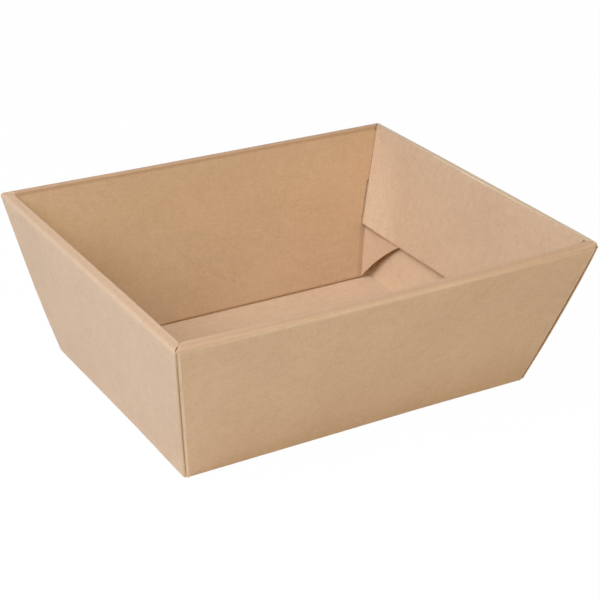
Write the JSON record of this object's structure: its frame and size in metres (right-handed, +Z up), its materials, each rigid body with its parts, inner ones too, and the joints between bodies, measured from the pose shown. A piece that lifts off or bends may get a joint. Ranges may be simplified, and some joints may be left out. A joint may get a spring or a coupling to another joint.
{
  "type": "cardboard tray box",
  "caption": "Open kraft cardboard tray with sloping double walls, a flat rolled-over rim and locked corners, folded from one sheet, for hampers, gifts and produce.",
  "frame": {"origin": "centre of the tray's base, on the table", "axes": "+X along the long walls, +Y across the tray, +Z up out of the open top"},
  "size_m": [0.3992, 0.3314, 0.1458],
  "materials": {
    "kraft_board": "matte unbleached kraft liner over fine-fluted board, raw cut edges"
  },
  "bodies": {
    "root": {"tray": "kraft_board"}
  },
  "joints": []
}
